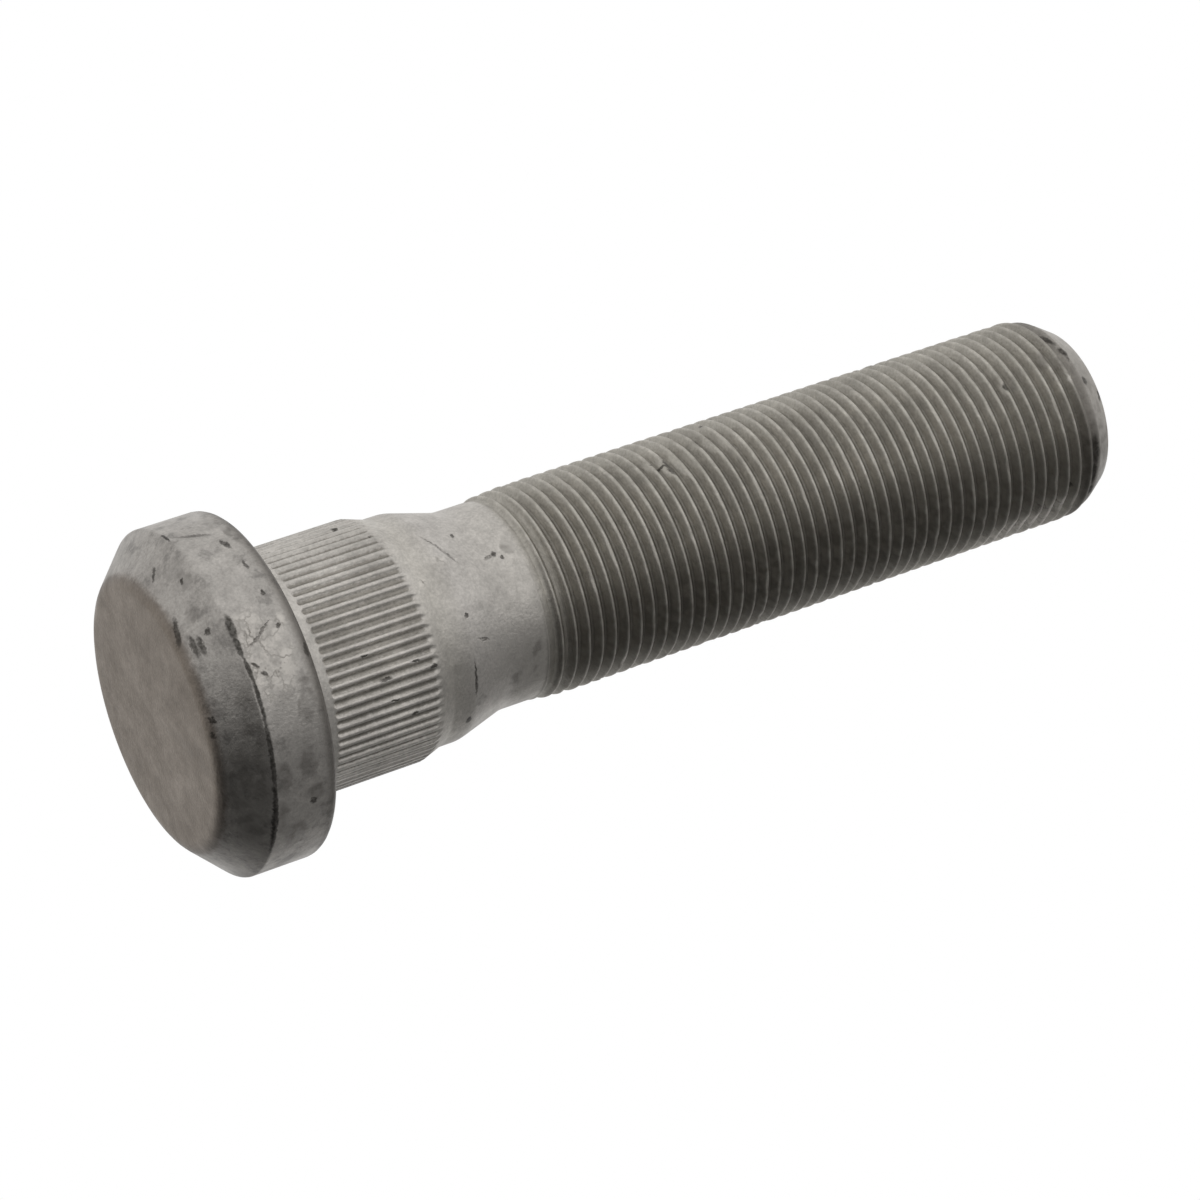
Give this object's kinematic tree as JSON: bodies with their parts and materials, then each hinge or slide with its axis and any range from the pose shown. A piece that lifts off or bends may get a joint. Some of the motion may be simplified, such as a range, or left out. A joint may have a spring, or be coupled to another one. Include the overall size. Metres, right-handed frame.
{
  "type": "wheel stud",
  "caption": "Knurled steel wheel stud: round chamfered head, grooved press-fit shank, tapered collar and long threaded end with a chamfered tip.",
  "frame": {"origin": "centre of the head's flat face", "axes": "+Z from the head to the threaded end, +X through the middle of one knurl groove"},
  "size_m": [0.0358, 0.0358, 0.108],
  "materials": {
    "steel": "bare grey steel, satin, with dull stains and light handling marks"
  },
  "bodies": {
    "root": {"wheel_stud": "steel"}
  },
  "joints": []
}
